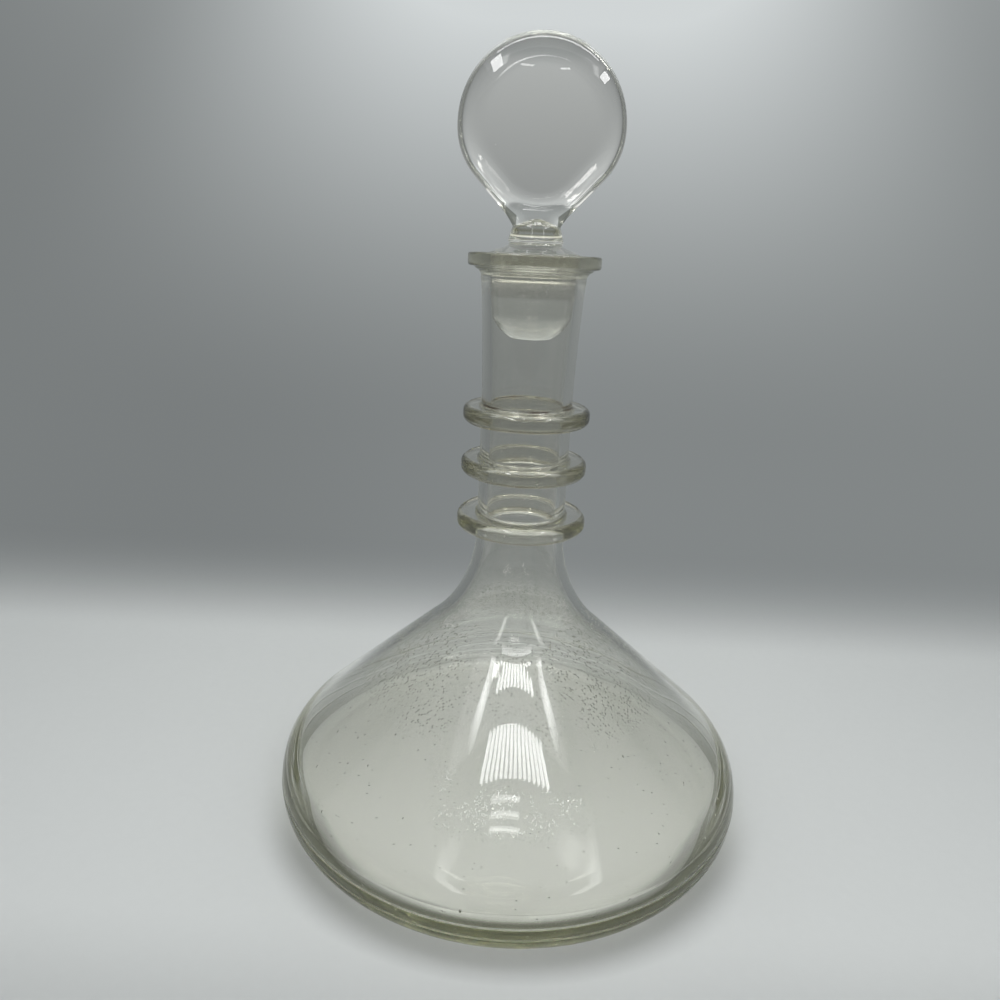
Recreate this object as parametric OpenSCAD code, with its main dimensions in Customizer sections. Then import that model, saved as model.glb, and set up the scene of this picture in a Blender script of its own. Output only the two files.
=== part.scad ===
// Ships decanter: a broad-based clear glass flask with three applied neck rings and a ground,
// disc-headed stopper. Millimetres, +Z up, standing on z = 0 with the neck's axis on the Z axis.

/* [Body] */
// Outer radius at the belt, the widest part of the body
belt_r = 95; // [90:0.5:105]
// Height of the belt above the table
belt_z = 13.2; // [11:0.1:18]
// Radial run of the rounded heel, from the standing ring out to the belt
heel_run = 10.6; // [7:0.1:16]
// Radius of the rounded shoulder above the belt
shoulder_r = 16.5; // [12:0.1:24]
// Lean of the straight shoulder from upright, in degrees
shoulder_lean = 48; // [44:0.5:52]
// Radius of the hollow sweep from the shoulder into the neck
sweep_r = 56; // [45:0.5:70]
// Height of the lip's top face
mouth_z = 218.6; // [210:0.1:230]

/* [Glass thickness] */
// Wall at the belt
belt_wall = 4.5; // [3.5:0.1:6]
// Wall along the straight shoulder
bell_wall = 3; // [2.2:0.1:4]
// Wall of the neck
neck_wall = 3.5; // [3:0.1:4.5]
// Thickness of the floor at the standing ring
floor_t = 7; // [5:0.1:9]
// Radial run of the rounded inside corner at the floor
inner_heel_run = 14; // [8:0.5:20]

/* [Base] */
// Width of the flat ring that the decanter stands on
standing_w = 12; // [6:0.5:20]
// Height of the shallow push-up inside the standing ring
push_up = 2.5; // [1:0.1:4]

/* [Neck and lip] */
// Outer radius of the straight neck that carries the rings
neck_r = 17; // [16:0.1:18.5]
// Outer radius of the neck just below the lip's cove
throat_r = 18.7; // [18.2:0.1:20]
// Outer radius of the lip
lip_r = 23.7; // [22.5:0.1:27]
// Thickness of the lip's flange
lip_t = 4.4; // [3:0.1:6]
// Radius of the cove between the neck and the lip
cove_r = 4.4; // [2:0.1:4.8]
// Rounding of the lip's outer edges
lip_round = 0.9; // [0.3:0.1:1.4]

/* [Neck rings] */
// Outer radius of the upper ring
upper_ring_r = 24.1; // [21:0.1:28]
// Outer radius of the middle ring
middle_ring_r = 24.2; // [21:0.1:28]
// Outer radius of the lower ring
lower_ring_r = 25.1; // [21:0.1:28]
// Height of each ring along the neck
ring_h = 6.2; // [5:0.1:8]
// Rounding of the rings' outer edges
ring_round = 2.3; // [1:0.1:2.4]
// Fillet of fused glass where each ring meets the neck
ring_fillet = 1.1; // [0.6:0.1:1.6]
// Height of the lower ring's middle above the top of the sweep
lower_ring_lift = 4.6; // [4.5:0.1:8]
// Rise from the lower to the middle ring
middle_ring_rise = 21.6; // [14:0.1:24]
// Rise from the middle to the upper ring
upper_ring_rise = 19.8; // [14:0.1:24]

/* [Ground joint] */
// Radius of the ground socket at the mouth
socket_r = 15.9; // [15.4:0.1:16.4]
// Depth of the ground zone below the mouth
ground_l = 14.6; // [10:0.1:18]
// Length over which the joint's diameter narrows by one unit
joint_taper = 10; // [8:0.5:16]
// Clearance between the ground plug and its socket, on radius
joint_gap = 0.08; // [0.04:0.01:0.2]

/* [Stopper plug] */
// Depth of the plug's end below the mouth
plug_l = 28.8; // [26:0.1:34]
// Step in from the ground zone to the clear end of the plug, on radius
plug_step = 0.7; // [0.3:0.1:1.5]
// Rounding of the plug's end
plug_round = 7; // [4:0.1:9]
// Lean from level of the flared skirt between the lip and the collar, in degrees
skirt_lean = 22; // [18:0.5:28]
// Radius of the fillet from the skirt up to the collar
skirt_fillet = 1.3; // [0.8:0.1:2]
// Height of the stopper's shoulder above the lip when it is seated
seat_rise = 0.3; // [0.1:0.1:0.8]

/* [Stopper head] */
// Radius of the collar's lower edge
collar_r = 9.8; // [9.4:0.1:11]
// Height of the collar
collar_h = 5.3; // [4:0.1:7]
// Half width of the waist where the head grows out of the collar
waist_r = 8.4; // [7.6:0.1:9]
// Radius of the hollow flare from the waist to the head's flanks
waist_flare = 24; // [18:0.5:30]
// Distance of the waist's edge outside the line of the flanks
flank_offset = 0.9; // [0.5:0.1:1.6]
// Radius of the disc
disc_r = 28.5; // [26:0.1:31]
// Thickness of the disc, whose rim is fully rounded
disc_t = 13.2; // [11:0.2:14.4]
// Radius at which the disc turns in towards its flanks
flank_r = 22.5; // [20:0.5:25]
// Lean of the straight flanks from upright, in degrees
flank_lean = 44; // [42:0.5:47]
// Radius of the head's rounded toe, between the flanks
toe_r = 21.5; // [19:0.1:22]

/* [Hidden] */
$fn = 96;
hull_fn = 48;

// Steps in an arc of an outline
arc_steps = 16;
// Steps in the small roundings
edge_steps = 6;
// Angle below level at which the disc's rim turns into the flank's rounding
flank_start = 5;
// Straight glass left on the neck above the upper ring
neck_margin = 3;
// Exponent of the neck's slow widening towards the lip
throat_power = 1.5;
// Blunt toe of a ring's fillet, so that it doesn't run out to nothing
fillet_toe = 0.12;
// Overhang of the collar's lower edge past the skirt
collar_step = 0.5;
// Height of the low dome on the collar, under the head
dome_h = 2.8;

clear_glass = [0.83, 0.88, 0.85, 0.45];
ring_glass = [0.82, 0.82, 0.66, 0.55];
stopper_glass = [0.80, 0.86, 0.83, 0.5];

// Points on an arc about [c.x, c.y], from angle a0 to angle a1
function arc(c, r, a0, a1, steps = arc_steps) =
    [for (i = [0:steps]) let (a = a0 + (a1 - a0) * i / steps) c + r * [cos(a), sin(a)]];

// Points on a quarter ellipse from [r0, z0] level to [r1, z1] upright
function heel(r0, z0, r1, z1) =
    [for (i = [0:arc_steps]) let (a = 90 * i / arc_steps)
        [r0 + (r1 - r0) * sin(a), z1 - (z1 - z0) * cos(a)]];

// Distance of the straight shoulder from the origin, square to the shoulder
shoulder_line = (belt_r - shoulder_r) * cos(shoulder_lean) + belt_z * sin(shoulder_lean) + shoulder_r;

// Height of the sweep's top, where a sweep of radius r meets a neck of radius n along a line at distance d
function sweep_top(d, r, n) = (d + r - (n + r) * cos(shoulder_lean)) / sin(shoulder_lean);

// Height of the belt of an outline that follows a line at distance d with a belt of radius b
function belt_height(d, b) =
    (d - shoulder_r - (b - shoulder_r) * cos(shoulder_lean)) / sin(shoulder_lean);

// Shoulder and sweep from a belt of radius b to a neck of radius n
function bell(d, b, r, n) = concat(
    arc([b - shoulder_r, belt_height(d, b)], shoulder_r, 0, shoulder_lean),
    arc([n + r, sweep_top(d, r, n)], r, 180 + shoulder_lean, 180));

// Slow widening from [n, z0] to [t, z1], starting upright
function throat(n, z0, t, z1) =
    [for (i = [1:arc_steps]) let (u = i / arc_steps)
        [n + (t - n) * pow(u, throat_power), z0 + (z1 - z0) * u]];

// Standing ring and push-up
foot_r = belt_r - heel_run;
push_up_r = foot_r - standing_w;
push_up_sphere = (push_up_r * push_up_r + push_up * push_up) / (2 * push_up);
push_up_half_angle = asin(push_up_r / push_up_sphere);

// Inside of the body
inner_line = shoulder_line - bell_wall;
inner_belt_r = belt_r - belt_wall;
inner_sweep_r = sweep_r + bell_wall;
bore_r = neck_r - neck_wall;

// Heights up the neck
sweep_z = sweep_top(shoulder_line, sweep_r, neck_r);
lower_ring_z = sweep_z + lower_ring_lift;
middle_ring_z = lower_ring_z + middle_ring_rise;
upper_ring_z = middle_ring_z + upper_ring_rise;
straight_z = upper_ring_z + ring_h / 2 + neck_margin;
lip_z = mouth_z - lip_t;
throat_z = lip_z - cove_r;

// Ground joint
ground_z = mouth_z - ground_l;
socket_end_r = socket_r - ground_l / joint_taper / 2;

// Stopper radii
plug_r = socket_r - joint_gap;
plug_end_r = socket_end_r - joint_gap;
plug_shoulder_r = plug_r + seat_rise / joint_taper / 2;
nose_r = plug_end_r - plug_step;
skirt_top_r = collar_r - collar_step;
skirt_run = plug_shoulder_r - skirt_top_r - skirt_fillet * (1 - sin(skirt_lean));

// Stopper heights
plug_z = mouth_z - plug_l;
plug_shoulder_z = mouth_z + seat_rise;
collar_z = plug_shoulder_z + skirt_run * tan(skirt_lean) + skirt_fillet * cos(skirt_lean);
waist_z = collar_z + collar_h;

// Flanks: directions square to a flank and up along it, and the distance of its line from the origin
flank_out = [cos(flank_lean), -sin(flank_lean)];
flank_up = [sin(flank_lean), cos(flank_lean)];
waist_edge = [waist_r, waist_z];
flank_line = flank_out * waist_edge - flank_offset;

// Head: centres of the flank roundings, the disc and the toe
rim_r = disc_t / 2;
flank_x = (disc_r - flank_r) * cos(flank_start);
flank_z = (flank_x * cos(flank_lean) + flank_r - flank_line) / sin(flank_lean);
disc_z = flank_z + (disc_r - flank_r) * sin(flank_start);
toe_z = flank_z - (flank_r - toe_r + flank_x * cos(flank_lean)) / sin(flank_lean);

// Flare from the waist's edge to the flanks, rooted inside the collar
waist_root_z = collar_z + collar_h / 2;
flare_run = sqrt(flank_offset * (2 * waist_flare - flank_offset));
flare = waist_edge + (waist_flare - flank_offset) * flank_out + flare_run * flank_up;
flare_start = atan2(waist_edge.y - flare.y, waist_edge.x - flare.x);

function flask_outside() = concat(
    heel(foot_r, 0, belt_r, belt_z),
    bell(shoulder_line, belt_r, sweep_r, neck_r),
    [[neck_r, straight_z]],
    throat(neck_r, straight_z, throat_r, throat_z),
    arc([throat_r + cove_r, throat_z], cove_r, 180, 90, edge_steps),
    arc([lip_r - lip_round, lip_z + lip_round], lip_round, -90, 0, edge_steps),
    arc([lip_r - lip_round, mouth_z - lip_round], lip_round, 0, 90, edge_steps));

function flask_inside() = concat(
    heel(inner_belt_r - inner_heel_run, floor_t, inner_belt_r, belt_height(inner_line, inner_belt_r)),
    bell(inner_line, inner_belt_r, inner_sweep_r, bore_r),
    [[bore_r, straight_z]],
    throat(bore_r, straight_z, socket_end_r, ground_z),
    [[socket_r, mouth_z]]);

function reversed(list) = [for (i = [len(list) - 1:-1:0]) list[i]];

module flask() {
    underside = arc([0, push_up - push_up_sphere], push_up_sphere, 90, 90 - push_up_half_angle);
    floor_rise = [[0, floor_t + push_up]];
    color(clear_glass)
        rotate_extrude()
            polygon(concat(underside, flask_outside(), reversed(flask_inside()), floor_rise));
}

// One ring of glass laid round the neck, centred on z = 0
module neck_ring(outer_r) {
    half = ring_h / 2;
    toe_angle = asin(1 - fillet_toe / ring_fillet);
    section = concat(
        [[neck_r, -half - ring_fillet]],
        arc([neck_r + ring_fillet, -half - ring_fillet], ring_fillet, 90 + toe_angle, 90, edge_steps),
        arc([outer_r - ring_round, ring_round - half], ring_round, -90, 0, edge_steps),
        arc([outer_r - ring_round, half - ring_round], ring_round, 0, 90, edge_steps),
        arc([neck_r + ring_fillet, half + ring_fillet], ring_fillet, 270, 270 - toe_angle, edge_steps),
        [[neck_r, half + ring_fillet]]);
    color(ring_glass)
        rotate_extrude()
            polygon(section);
}

module neck_ring_upper() {
    translate([0, 0, upper_ring_z])
        neck_ring(upper_ring_r);
}

module neck_ring_middle() {
    translate([0, 0, middle_ring_z])
        neck_ring(middle_ring_r);
}

module neck_ring_lower() {
    translate([0, 0, lower_ring_z])
        neck_ring(lower_ring_r);
}

// Round lower half of the stopper: plug, skirt, collar and low dome
module stopper_turned() {
    nose = arc([nose_r - plug_round, plug_z + plug_round], plug_round, -90, 0);
    skirt = arc([skirt_top_r + skirt_fillet, collar_z], skirt_fillet, 270 - skirt_lean, 180, edge_steps);
    rotate_extrude()
        polygon(concat(
            [[0, plug_z]],
            nose,
            [[plug_end_r, ground_z], [plug_shoulder_r, plug_shoulder_z]],
            skirt,
            [[collar_r, collar_z], [waist_r, waist_z], [waist_r - dome_h, waist_z + dome_h]],
            [[0, waist_z + dome_h]]));
}

// A disc standing on edge with a fully rounded rim, centred on [x, 0, z]
module rounded_disc(x, z, r) {
    translate([x, 0, z])
        rotate([90, 0, 0])
            rotate_extrude($fn = hull_fn)
                polygon(concat(
                    [[0, -rim_r]],
                    arc([r - rim_r, 0], rim_r, -90, 90, edge_steps),
                    [[0, rim_r]]));
}

// Upper half of the disc alone, so that the flanks can turn in below it
module upper_disc() {
    intersection() {
        rounded_disc(0, disc_z, disc_r);
        translate([-disc_r, -disc_t, flank_z])
            cube([2 * disc_r, 2 * disc_t, 2 * disc_r]);
    }
}

module head() {
    hull() {
        upper_disc();
        rounded_disc(-flank_x, flank_z, flank_r);
        rounded_disc(flank_x, flank_z, flank_r);
        rounded_disc(0, toe_z, toe_r);
    }
}

// Waist between the collar and the head, flattened to the disc's thickness
module waist() {
    intersection() {
        rotate_extrude()
            polygon(concat(
                [[0, waist_root_z], [waist_r, waist_root_z]],
                arc(flare, waist_flare, flare_start, 180 - flank_lean, edge_steps),
                [[0, flare.y + waist_flare * sin(flank_lean)]]));
        translate([-disc_r, -rim_r, waist_root_z])
            cube([2 * disc_r, disc_t, disc_r]);
    }
}

module stopper() {
    color(stopper_glass)
        union() {
            stopper_turned();
            waist();
            head();
        }
}

flask();
neck_ring_upper();
neck_ring_middle();
neck_ring_lower();
stopper();
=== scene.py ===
"""Ships decanter in clear glass: a turned flask, three neck rings and a disc-headed stopper."""
from functools import partialmethod
from math import asin, cos, exp, hypot, pi, radians, sin, sqrt, tan

import bpy
import numpy as np
from mathutils import Matrix, Vector


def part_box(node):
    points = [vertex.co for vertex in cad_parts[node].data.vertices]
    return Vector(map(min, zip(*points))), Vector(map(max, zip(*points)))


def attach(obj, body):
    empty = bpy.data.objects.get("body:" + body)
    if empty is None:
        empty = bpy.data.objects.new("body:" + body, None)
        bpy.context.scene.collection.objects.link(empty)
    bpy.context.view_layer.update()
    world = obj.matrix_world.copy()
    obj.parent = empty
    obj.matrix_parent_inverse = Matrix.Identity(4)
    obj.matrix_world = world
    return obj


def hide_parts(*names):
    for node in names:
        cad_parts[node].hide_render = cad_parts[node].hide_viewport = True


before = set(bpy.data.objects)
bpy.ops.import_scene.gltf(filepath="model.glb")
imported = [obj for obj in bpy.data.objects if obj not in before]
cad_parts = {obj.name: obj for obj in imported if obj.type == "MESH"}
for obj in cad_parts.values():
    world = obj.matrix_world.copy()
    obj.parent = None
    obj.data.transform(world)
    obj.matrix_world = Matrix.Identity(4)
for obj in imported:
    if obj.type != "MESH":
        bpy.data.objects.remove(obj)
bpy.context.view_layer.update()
FLASK_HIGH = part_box("flask")[1]
STOPPER_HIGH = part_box("stopper")[1]

bl_info = {
    "name": "Ships Decanter",
    "version": (1, 0, 0),
    "blender": (4, 5, 0),
    "location": "View3D > Sidebar > Decanter",
    "description": "Builds a glass ships decanter on a pale studio sweep",
    "category": "Object",
}

MM = 0.001
RING_NODES = ("neck_ring_lower", "neck_ring_middle", "neck_ring_upper")
# Fine grooves round the heel: heights, depth and width
HEEL_LINES = (14.8 * MM, 9.9 * MM)
HEEL_GROOVE = (0.3 * MM, 0.6 * MM)
# Tooled ridges in the cove below the lip: heights above its foot, depth and width
COVE_LINES = (0.4 * MM, 3.6 * MM)
COVE_RIDGE = (-0.3 * MM, 0.5 * MM)
# Unevenness of the blown wall and of the hand-laid rings
WALL_WAVER = 0.12 * MM
RING_WAVER = 0.18 * MM

# Lamps: name, place, size, share of the lamp power, the point aimed at and the beam in degrees
LAMPS = (
    ("overhead", (0, -0.02, 0.75), (0.9, 0.8), 1.0, (0, 0, 0), 180),
    ("top_strip", (0.016, -0.03, 0.5), (0.33, 0.025), 0.15, (0.016, -0.03, 0), 180),
    ("leg_left", (-0.137, -0.195, 0.39), (0.034, 0.075), 0.00014, (-0.014, -0.050, 0.060), 9),
    ("leg_right", (0.170, -0.190, 0.39), (0.034, 0.075), 0.00014, (0.017, -0.050, 0.060), 9),
    ("head_left", (-0.092, -0.110, 0.39), (0.030, 0.13), 0.09, (-0.092, -0.110, 0), 180),
    ("head_right", (0.143, -0.090, 0.39), (0.030, 0.11), 0.08, (0.143, -0.090, 0), 180),
    ("thin_near", (-0.006, -0.327, 0.39), (0.10, 0.004), 0.0035, (0, 0, 0.03), 180),
    ("thin_middle", (-0.006, -0.312, 0.39), (0.10, 0.004), 0.0035, (0, 0, 0.03), 180),
    ("thin_far", (-0.006, -0.297, 0.39), (0.10, 0.004), 0.0035, (0, 0, 0.03), 180),
    ("dash_left", (-0.002, -0.53, 0.39), (0.012, 0.0016), 0.0003, (0, 0, 0.27), 180),
    ("dash_right", (0.035, -0.536, 0.39), (0.009, 0.0012), 0.0002, (0, 0, 0.27), 180),
    ("front", (-0.03, -0.78, 0.50), (0.42, 0.06), 0.004, (0, 0, 0.22), 13),
)
# Rows of small lamps above the camera: name, middle, size, share of the bar power, count and aim
LIGHT_BARS = (
    ("bar_near", (0.022, -0.254, 0.39), (0.240, 0.044), 1.0, 15, (0.002, -0.066, 0.050)),
    ("bar_far", (0.012, -0.187, 0.39), (0.18, 0.016), 0.28, 11, (0.002, -0.041, 0.070)),
)
# Share of its place in the row that each small lamp fills
CELL_FILL = 0.74
# Soft lights behind the camera, in parts of a unit direction:
# middle across, height of that middle, drift across with height, half width, lowest, highest, strength
SOFT_LIGHTS = (
    (-0.355, 0.76, 1.75, 0.05, 0.735, 0.80, 2.0),
    (-0.37, 0.74, -0.38, 0.06, 0.50, 0.77, 4.0),
    (0.50, 0.72, -2.7, 0.06, 0.70, 0.79, 2.0),
    (0.53, 0.69, 0.42, 0.06, 0.50, 0.73, 4.0),
)


# Properties


def number(name, description, default, **kind):
    """A number property."""
    return bpy.props.FloatProperty(name=name, description=description, default=default, **kind)


def length(name, description, default):
    """A length property, from millimetres."""
    return number(name, description, default * MM, unit="LENGTH", precision=5)


def degrees(name, description, default):
    """An angle property, from degrees."""
    return number(name, description, radians(default), subtype="ANGLE")


def colour(name, description, default):
    """A colour property."""
    return bpy.props.FloatVectorProperty(
        name=name, description=description, default=default, subtype="COLOR", size=3, min=0, max=1
    )


class FlaskSizes(bpy.types.PropertyGroup):
    """Sizes of the flask's outline and walls."""

    belt_radius: length("Belt radius", "Outer radius at the widest part", round(FLASK_HIGH.x / MM, 1))
    belt_height: length("Belt height", "Height of the widest part above the table", 13.2)
    heel_run: length("Heel run", "Radial run of the rounded heel", 10.6)
    shoulder_radius: length("Shoulder radius", "Rounding above the belt", 16.5)
    shoulder_lean: degrees("Shoulder lean", "Lean of the straight shoulder from upright", 48)
    sweep_radius: length("Sweep radius", "Hollow sweep from the shoulder into the neck", 56)
    belt_wall: length("Belt wall", "Glass thickness at the belt", 4.5)
    bell_wall: length("Bell wall", "Glass thickness along the shoulder", 3)
    neck_wall: length("Neck wall", "Glass thickness of the neck", 3.5)
    floor_thickness: length("Floor", "Glass thickness at the edge of the floor", 7)
    inner_heel_run: length("Inner heel run", "Radial run of the rounded inside corner", 14)
    standing_width: length("Standing ring", "Width of the ring that the flask stands on", 12)
    push_up: length("Push-up", "Height of the shallow hollow under the base", 2.5)
    neck_radius: length("Neck radius", "Outer radius of the straight neck", 17)
    throat_radius: length("Throat radius", "Outer radius just below the lip", 18.7)
    lip_radius: length("Lip radius", "Outer radius of the lip", 23.7)
    lip_thickness: length("Lip thickness", "Thickness of the lip's flange", 4.4)
    cove_radius: length("Cove radius", "Hollow between the neck and the lip", 4.4)
    lip_rounding: length("Lip rounding", "Rounding of the lip's outer edges", 0.9)
    mouth_bevel: length("Mouth bevel", "Bevel at the mouth's inner edge", 0.5)
    mouth_height: length("Mouth height", "Height of the lip's top", round(FLASK_HIGH.z / MM, 1))
    straight_top: length("Straight top", "Height where the neck starts to widen", 167.8)
    socket_radius: length("Socket radius", "Radius of the ground socket at the mouth", 15.9)
    ground_depth: length("Ground depth", "Depth of the ground zone below the mouth", 14.6)
    joint_taper: number("Joint taper", "Length over which the joint's diameter narrows by one unit", 10)


class RingSizes(bpy.types.PropertyGroup):
    """Sizes that the three neck rings share."""

    height: length("Ring height", "Height of a ring along the neck", 6.2)
    rounding: length("Ring rounding", "Rounding of a ring's outer edges", 2.3)
    fillet: length("Ring fillet", "Fused fillet between a ring and the neck", 1.1)
    bite: length("Ring bite", "Depth to which a ring is sunk into the neck", 0.25)


class StopperSizes(bpy.types.PropertyGroup):
    """Sizes of the stopper's plug, collar and head."""

    joint_gap: length("Joint gap", "Clearance between plug and socket, on radius", 0.08)
    plug_depth: length("Plug depth", "Depth of the plug's end below the mouth", 28.8)
    plug_step: length("Plug step", "Step in from the ground zone to the clear end", 0.7)
    plug_bevel: length("Plug bevel", "Run of the bevel round the plug's end", 6.6)
    plug_bevel_height: length("Plug bevel height", "Height of the bevel round the plug's end", 7.6)
    plug_bulge: length("Plug bulge", "Bulge of the bevel past a straight line", 0.9)
    seat_rise: length("Seat rise", "Height of the plug's shoulder above the lip", 0.3)
    skirt_lean: degrees("Skirt lean", "Lean of the flared skirt from level", 22)
    skirt_fillet: length("Skirt fillet", "Fillet from the skirt up to the collar", 1.3)
    collar_radius: length("Collar radius", "Radius of the collar's lower edge", 9.8)
    collar_height: length("Collar height", "Height of the collar", 5.3)
    collar_step: length("Collar step", "Overhang of the collar past the skirt", 0.5)
    collar_bead: length("Collar bead", "Rounding of the collar's lower edge", 0.55)
    dome_height: length("Dome height", "Height of the low dome on the collar", 2.8)
    waist_radius: length("Waist radius", "Half width of the waist below the head", 8.4)
    stem_rim: length("Stem rim", "Rounding of the stem's sides, half its depth", 6)
    stem_blend: length("Stem blend", "Width over which the stem runs into the head", 0.6)
    waist_flare: length("Waist flare", "Hollow flare from the waist to the flanks", 24)
    flank_offset: length("Flank offset", "Distance of the waist's edge outside the flanks", 0.9)
    disc_radius: length("Disc radius", "Radius of the disc", round(STOPPER_HIGH.x / MM, 1))
    disc_thickness: length("Disc thickness", "Thickness of the disc", 13.2)
    rim_run: length("Rim run", "Radial run of the rounding of the disc's rim", 8.8)
    rim_start: number("Rim start", "How slowly the rim starts to round, 1 for an ellipse", 0.8)
    flank_radius: length("Flank radius", "Radius at which the disc turns in below", 22.5)
    toe_radius: length("Toe radius", "Radius of the head's rounded toe", 21.5)
    flank_lean: degrees("Flank lean", "Lean of the straight flanks from upright", 44)
    flank_start: degrees("Flank start", "Angle below level where the disc turns into its flank", 5)


class GlassLook(bpy.types.PropertyGroup):
    """Tints of the glass and how it bends light."""

    flask_tint: colour("Flask tint", "Colour that the flask's glass passes", (0.80, 0.80, 0.62))
    ring_tint: colour("Ring tint", "Colour that the rings' glass passes", (0.45, 0.40, 0.02))
    stopper_tint: colour("Stopper tint", "Colour that the stopper's glass passes", (0.86, 0.865, 0.82))
    density: number("Density", "Strength of the tint, per metre", 11)
    refraction: number("Refraction", "Index of refraction", 1.5)


class StageLook(bpy.types.PropertyGroup):
    """Camera, sweep and light."""

    camera_place: bpy.props.FloatVectorProperty(
        name="Camera place", description="Where the camera stands", subtype="TRANSLATION", unit="LENGTH",
        default=(-0.0084, -0.2792, 0.2171),
    )
    camera_pitch: degrees("Camera pitch", "How far the camera looks down", 17.89)
    camera_roll: degrees("Camera roll", "Turn of the camera about its own axis", 2.61)
    lens: number("Lens", "Focal length on a 36 mm sensor", 27.04, unit="CAMERA")
    wall_distance: length("Wall distance", "Distance of the sweep's wall behind the neck", 210)
    sweep_bend: length("Sweep bend", "Radius of the bend between floor and wall", 85)
    floor_drop: length("Floor drop", "Gap that keeps the floor clear of the standing ring", 0.3)
    floor_colour: colour("Floor colour", "Colour of the sweep's floor", (0.690, 0.707, 0.703))
    wall_low: colour("Wall, low", "Colour of the wall's darkest band", (0.224, 0.240, 0.242))
    wall_high: colour("Wall, high", "Colour of the wall's glow", (0.635, 0.668, 0.673))
    glow_place: bpy.props.FloatVectorProperty(
        name="Glow place", description="Middle of the wall's glow, across and up", size=2,
        unit="LENGTH", default=(0.017, 0.345),
    )
    lamp_power: number("Lamp power", "Power of the overhead lamp", 1.58, unit="POWER")
    bar_power: number("Bar power", "Power of each light bar above the camera", 0.0042, unit="POWER")
    bar_spread: degrees("Bar spread", "Full angle of a bar's narrow beam", 22)


# Outlines


def arc(centre, radius, start, end, steps=24):
    """Points on an arc, angles in radians, as (across, up) pairs."""
    turns = [start + (end - start) * i / steps for i in range(steps + 1)]
    return [(centre[0] + radius * cos(t), centre[1] + radius * sin(t)) for t in turns]


def stretch(start, end, steps=24):
    """Points between two ends, without the ends."""
    return [tuple(a + (b - a) * i / steps for a, b in zip(start, end)) for i in range(1, steps)]


def strung(*parts):
    """Outline through points and runs of points, with a number for the steps of a straight stretch."""
    outline, steps = [], 1
    for part in parts:
        if isinstance(part, int):
            steps = part
            continue
        run = part if isinstance(part, list) else [part]
        if outline:
            outline += stretch(outline[-1], run[0], steps)
        outline += run
        steps = 1
    return outline


def quarter_ellipse(low, high, steps=28):
    """Quarter ellipse that leaves low level and reaches high upright."""
    turns = [pi / 2 * i / steps for i in range(steps + 1)]
    return [(low[0] + (high[0] - low[0]) * sin(t), high[1] - (high[1] - low[1]) * cos(t)) for t in turns]


def bulged(start, end, bulge, steps=20):
    """Shallow arc from start to end that stands out to the right by the bulge."""
    run, rise = end[0] - start[0], end[1] - start[1]
    span = hypot(run, rise)
    parts = [i / steps for i in range(steps + 1)]
    out = [4 * bulge * p * (1 - p) / span for p in parts]
    return [(start[0] + run * p + rise * o, start[1] + rise * p - run * o) for p, o in zip(parts, out)]


def lined(points, heights, depth, width):
    """Outline with a fine groove, or a ridge for a negative depth, at each of these heights."""
    places = [min(points, key=lambda point: abs(point[1] - height)) for height in heights]
    moved = []
    for i, (radius, height) in enumerate(points):
        before, after = points[max(i - 1, 0)], points[min(i + 1, len(points) - 1)]
        run, rise = after[0] - before[0], after[1] - before[1]
        gaps = [hypot(radius - r, height - z) / width for r, z in places]
        push = depth * sum(exp(-gap * gap) for gap in gaps) / hypot(run, rise)
        moved.append((radius - rise * push, height + run * push))
    return moved


def throat(low, high, steps=24, power=1.5):
    """Slow widening of the neck from low to high, starting upright."""
    parts = [i / steps for i in range(1, steps + 1)]
    return [(low[0] + (high[0] - low[0]) * p**power, low[1] + (high[1] - low[1]) * p) for p in parts]


def shoulder_line(sizes):
    """Distance of the straight shoulder from the origin, square to the shoulder."""
    run = sizes.belt_radius - sizes.shoulder_radius
    lean = sizes.shoulder_lean
    return run * cos(lean) + sizes.belt_height * sin(lean) + sizes.shoulder_radius


def bell(sizes, line, belt, sweep, neck):
    """Shoulder, straight and hollow sweep from the belt up to the neck."""
    lean, radius = sizes.shoulder_lean, sizes.shoulder_radius
    run = belt - radius
    belt_height = (line - radius - run * cos(lean)) / sin(lean)
    sweep_top = (line + sweep - (neck + sweep) * cos(lean)) / sin(lean)
    shoulder = arc((run, belt_height), radius, 0, lean, 36)
    hollow = arc((neck + sweep, sweep_top), sweep, pi + lean, pi, 36)
    return shoulder + stretch(shoulder[-1], hollow[0]) + hollow


def flask_outside(sizes):
    """Outer outline from the standing ring up to the lip's top."""
    lip_base = sizes.mouth_height - sizes.lip_thickness
    cove, rounding = sizes.cove_radius, sizes.lip_rounding
    edge = sizes.lip_radius - rounding
    foot = (sizes.belt_radius - sizes.heel_run, 0)
    heel = quarter_ellipse(foot, (sizes.belt_radius, sizes.belt_height), 64)
    body = bell(sizes, shoulder_line(sizes), sizes.belt_radius, sizes.sweep_radius, sizes.neck_radius)
    neck_high = (sizes.neck_radius, sizes.straight_top)
    throat_top = (sizes.throat_radius, lip_base - cove)
    outline = strung(
        heel, body[1:], 8, neck_high, throat(neck_high, throat_top),
        arc((throat_top[0] + cove, throat_top[1]), cove, pi, pi / 2, 36)[1:],
        arc((edge, lip_base + rounding), rounding, -pi / 2, 0, 8),
        arc((edge, sizes.mouth_height - rounding), rounding, 0, pi / 2, 8),
    )
    outline = lined(outline, HEEL_LINES, *HEEL_GROOVE)
    return lined(outline, [throat_top[1] + height for height in COVE_LINES], *COVE_RIDGE)


def socket_end(sizes):
    """Radius and height at the lower end of the ground socket."""
    radius = sizes.socket_radius - sizes.ground_depth / sizes.joint_taper / 2
    return radius, sizes.mouth_height - sizes.ground_depth


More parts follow.
